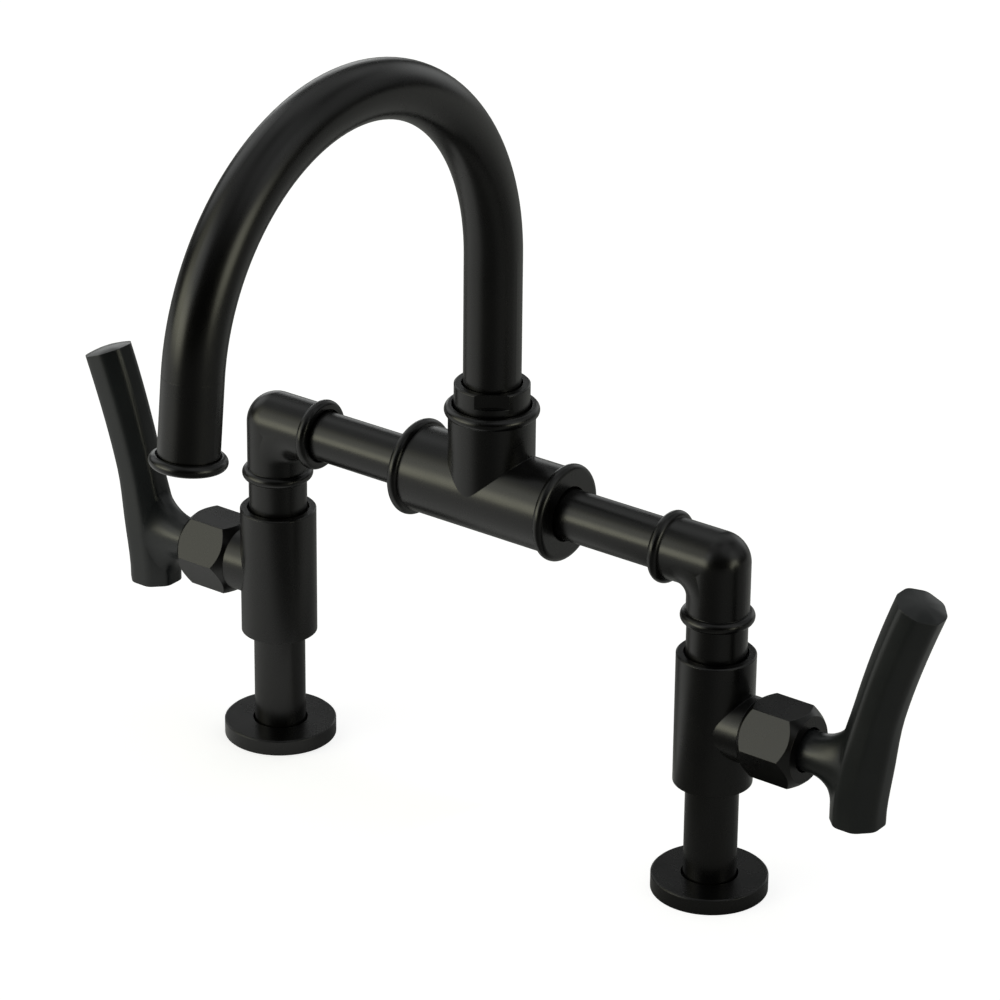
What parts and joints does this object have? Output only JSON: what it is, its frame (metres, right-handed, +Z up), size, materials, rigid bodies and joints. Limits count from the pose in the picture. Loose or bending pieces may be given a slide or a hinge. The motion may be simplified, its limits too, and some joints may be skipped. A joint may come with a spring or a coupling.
{
  "type": "bridge faucet",
  "caption": "Deck-mounted bridge faucet in black: pipe-style legs and elbows, a beaded tee with a swivelling gooseneck spout, and faceted lever handles on the outer sides.",
  "frame": {"origin": "midway between the two leg axes, on the face of the deck under the flanges", "axes": "+Z up; +X along the bridge; the spout points along -Y at rest"},
  "size_m": [0.3894, 0.2063, 0.3824],
  "materials": {
    "black_finish": "satin black",
    "brass": "turned",
    "steel": "brushed",
    "rubber": "matte",
    "ceramic": "lapped",
    "nylon": "moulded"
  },
  "bodies": {
    "root": {"left_flange": "black_finish", "right_flange": "black_finish", "left_leg": "black_finish", "right_leg": "black_finish", "left_valve_body": "black_finish", "right_valve_body": "black_finish", "left_bonnet_nut": "black_finish", "right_bonnet_nut": "black_finish", "left_tailpiece": "black_finish", "right_tailpiece": "black_finish", "left_elbow": "black_finish", "right_elbow": "black_finish", "left_bridge_pipe": "black_finish", "right_bridge_pipe": "black_finish", "tee": "black_finish", "spout_nut": "black_finish", "deck_lock_nuts": "brass", "left_cartridge": "brass", "right_cartridge": "brass", "deck_metal_washers": "steel", "left_flange_seal": "rubber", "right_flange_seal": "rubber", "deck_rubber_washers": "rubber", "left_seat_seal": "rubber", "right_seat_seal": "rubber", "tailpiece_rings": "rubber", "bridge_pipe_rings": "rubber", "left_fixed_disc": "ceramic", "right_fixed_disc": "ceramic", "spout_bush": "nylon"},
    "left_handle": {"left_handle": "black_finish", "left_set_screw": "steel", "left_spindle": "brass", "left_spindle_ring": "rubber", "left_turning_disc": "ceramic"},
    "right_handle": {"right_handle": "black_finish", "right_set_screw": "steel", "right_spindle": "brass", "right_spindle_ring": "rubber", "right_turning_disc": "ceramic"},
    "spout": {"spout": "black_finish", "spout_rings": "rubber", "outlet_ring": "black_finish", "outlet_insert": "nylon", "outlet_gasket": "rubber"}
  },
  "joints": [
    {"name": "left_handle_turn", "type": "hinge", "parent": "root", "child": "left_handle", "pos_m": [-0.1466, 0, 0.0698], "axis": [1, 0, 0], "range_deg": [0, 90]},
    {"name": "right_handle_turn", "type": "hinge", "parent": "root", "child": "right_handle", "pos_m": [0.1466, 0, 0.0698], "axis": [1, 0, 0], "range_deg": [0, 90]},
    {"name": "spout_swivel", "type": "hinge", "parent": "root", "child": "spout", "pos_m": [0, 0, 0.155], "axis": [0, 0, 1], "continuous": true}
  ]
}
